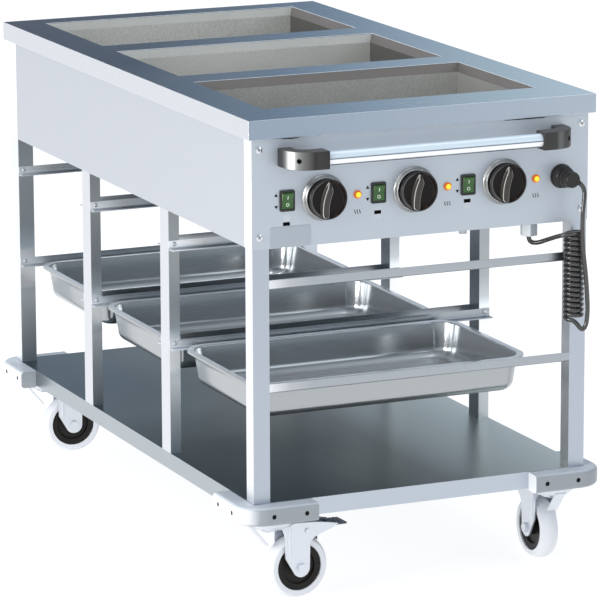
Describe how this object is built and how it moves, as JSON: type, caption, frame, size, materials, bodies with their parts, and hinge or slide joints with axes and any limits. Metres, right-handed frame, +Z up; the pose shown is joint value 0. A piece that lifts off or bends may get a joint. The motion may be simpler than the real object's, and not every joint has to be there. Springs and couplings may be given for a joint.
{
  "type": "bain marie trolley",
  "caption": "Heated serving trolley with open wells, guides with shallow pans, lower shelf, corner bumpers, push handle, controls and swivel casters",
  "frame": {"origin": "on the floor, in the middle of the outer box without the mains cord", "axes": "+X to the right of a person who pushes, +Y away from that person and along the trolley, +Z up"},
  "size_m": [0.6844, 1.2582, 0.84],
  "materials": {
    "worktop_steel": "brushed stainless sheet",
    "well_steel": "deep-drawn stainless sheet",
    "panel_steel": "satin stainless sheet",
    "frame_steel": "satin stainless tube",
    "guide_steel": "bent stainless sheet",
    "shelf_steel": "brushed stainless sheet",
    "pan_steel": "polished stainless sheet",
    "bumper_plastic": "light grey",
    "black_screw": "blackened",
    "screw_steel": "bright",
    "zinc": "bright zinc plated",
    "wheel_centre": "black brown",
    "tyre_grey": "light grey non-marking",
    "brake_steel": "dark blue grey",
    "handle_tube": "polished stainless tube",
    "handle_plastic": "dark grey moulded",
    "bezel_metal": "satin ring",
    "knob_plastic": "black",
    "thermostat_metal": "bare",
    "switch_black": "black",
    "rocker_green": "green translucent",
    "lamp_orange": "lit amber lens",
    "plug_rubber": "black moulded",
    "cord_rubber": "dark grey glossy",
    "gland_grey": "grey",
    "stub_grey": "dark grey",
    "heater_metal": "dull"
  },
  "bodies": {
    "frame": {"worktop": "worktop_steel", "well_front": "well_steel", "well_middle": "well_steel", "well_rear": "well_steel", "heating_elements": "heater_metal", "control_panel": "panel_steel", "rear_panel": "panel_steel", "side_panels": "panel_steel", "bottom_cover": "panel_steel", "drain_stub": "stub_grey", "post_front_left": "frame_steel", "post_front_right": "frame_steel", "post_rear_left": "frame_steel", "post_rear_right": "frame_steel", "mid_posts": "frame_steel", "upper_guides": "guide_steel", "lower_guides": "guide_steel", "shelf": "shelf_steel", "bumper_front_left": "bumper_plastic", "bumper_front_right": "bumper_plastic", "bumper_rear_left": "bumper_plastic", "bumper_rear_right": "bumper_plastic", "bumper_screws": "black_screw", "screws": "screw_steel", "caster_plates": "zinc", "handle_bar": "handle_tube", "handle_brackets": "handle_plastic", "knob_bezels": "bezel_metal", "thermostats": "thermostat_metal", "switch_frames": "switch_black", "lamps": "lamp_orange", "plug_holder": "plug_rubber", "plug": "plug_rubber", "cord_lead": "cord_rubber", "cord_coil": "cord_rubber", "cord_tail": "cord_rubber", "cable_gland": "gland_grey"},
    "caster_front_left": {"fork_front_left": "zinc"},
    "wheel_front_left": {"wheel_front_left": "wheel_centre", "tyre_front_left": "tyre_grey"},
    "brake_front_left": {"brake_pedal_front_left": "brake_steel"},
    "caster_front_right": {"fork_front_right": "zinc"},
    "wheel_front_right": {"wheel_front_right": "wheel_centre", "tyre_front_right": "tyre_grey"},
    "caster_rear_left": {"fork_rear_left": "zinc"},
    "wheel_rear_left": {"wheel_rear_left": "wheel_centre", "tyre_rear_left": "tyre_grey"},
    "brake_rear_left": {"brake_pedal_rear_left": "brake_steel"},
    "caster_rear_right": {"fork_rear_right": "zinc"},
    "wheel_rear_right": {"wheel_rear_right": "wheel_centre", "tyre_rear_right": "tyre_grey"},
    "knob_left": {"knob_left": "knob_plastic"},
    "knob_middle": {"knob_middle": "knob_plastic"},
    "knob_right": {"knob_right": "knob_plastic"},
    "rocker_left": {"rocker_left": "rocker_green"},
    "rocker_middle": {"rocker_middle": "rocker_green"},
    "rocker_right": {"rocker_right": "rocker_green"},
    "pan_front": {"pan_front": "pan_steel"},
    "pan_middle": {"pan_middle": "pan_steel"},
    "pan_rear": {"pan_rear": "pan_steel"}
  },
  "joints": [
    {"name": "swivel_front_left", "type": "hinge", "parent": "frame", "child": "caster_front_left", "pos_m": [-0.268, -0.5291, 0.1377], "axis": [0, 0, 1], "continuous": true},
    {"name": "spin_front_left", "type": "hinge", "parent": "caster_front_left", "child": "wheel_front_left", "pos_m": [-0.21807, -0.52648, 0.056], "axis": [-0.0523, 0.9986, 0], "continuous": true},
    {"name": "brake_front_left", "type": "hinge", "parent": "caster_front_left", "child": "brake_front_left", "pos_m": [-0.20613, -0.52586, 0.12035], "axis": [0.0523, -0.9986, 0], "range_deg": [0, 12]},
    {"name": "swivel_front_right", "type": "hinge", "parent": "frame", "child": "caster_front_right", "pos_m": [0.268, -0.5291, 0.1377], "axis": [0, 0, 1], "continuous": true},
    {"name": "spin_front_right", "type": "hinge", "parent": "caster_front_right", "child": "wheel_front_right", "pos_m": [0.268, -0.4791, 0.056], "axis": [-1, 0, 0], "continuous": true},
    {"name": "swivel_rear_left", "type": "hinge", "parent": "frame", "child": "caster_rear_left", "pos_m": [-0.268, 0.5609, 0.1377], "axis": [0, 0, 1], "continuous": true},
    {"name": "spin_rear_left", "type": "hinge", "parent": "caster_rear_left", "child": "wheel_rear_left", "pos_m": [-0.21827, 0.55567, 0.056], "axis": [0.1045, 0.9945, 0], "continuous": true},
    {"name": "brake_rear_left", "type": "hinge", "parent": "caster_rear_left", "child": "brake_rear_left", "pos_m": [-0.20639, 0.55442, 0.12035], "axis": [-0.1045, -0.9945, 0], "range_deg": [0, 12]},
    {"name": "swivel_rear_right", "type": "hinge", "parent": "frame", "child": "caster_rear_right", "pos_m": [0.268, 0.5609, 0.1377], "axis": [0, 0, 1], "continuous": true},
    {"name": "spin_rear_right", "type": "hinge", "parent": "caster_rear_right", "child": "wheel_rear_right", "pos_m": [0.21819, 0.56526, 0.056], "axis": [-0.0872, -0.9962, 0], "continuous": true},
    {"name": "thermostat_left", "type": "hinge", "parent": "frame", "child": "knob_left", "pos_m": [-0.183, -0.5833, 0.6995], "axis": [0, 1, 0], "range_deg": [0, 270]},
    {"name": "thermostat_middle", "type": "hinge", "parent": "frame", "child": "knob_middle", "pos_m": [-0.016, -0.5833, 0.6995], "axis": [0, 1, 0], "range_deg": [0, 270]},
    {"name": "thermostat_right", "type": "hinge", "parent": "frame", "child": "knob_right", "pos_m": [0.151, -0.5833, 0.6995], "axis": [0, 1, 0], "range_deg": [0, 270]},
    {"name": "switch_left", "type": "hinge", "parent": "frame", "child": "rocker_left", "pos_m": [-0.2495, -0.5683, 0.6995], "axis": [1, 0, 0], "range_deg": [-16, 0]},
    {"name": "switch_middle", "type": "hinge", "parent": "frame", "child": "rocker_middle", "pos_m": [-0.0825, -0.5683, 0.6995], "axis": [1, 0, 0], "range_deg": [-16, 0]},
    {"name": "switch_right", "type": "hinge", "parent": "frame", "child": "rocker_right", "pos_m": [0.0845, -0.5683, 0.6995], "axis": [1, 0, 0], "range_deg": [-16, 0]},
    {"name": "slide_pan_front", "type": "slide", "parent": "frame", "child": "pan_front", "axis": [-1, 0, 0], "range_m": [-0.08, 0.45]},
    {"name": "slide_pan_middle", "type": "slide", "parent": "frame", "child": "pan_middle", "axis": [-1, 0, 0], "range_m": [-0.08, 0.45]},
    {"name": "slide_pan_rear", "type": "slide", "parent": "frame", "child": "pan_rear", "axis": [-1, 0, 0], "range_m": [-0.08, 0.45]}
  ]
}
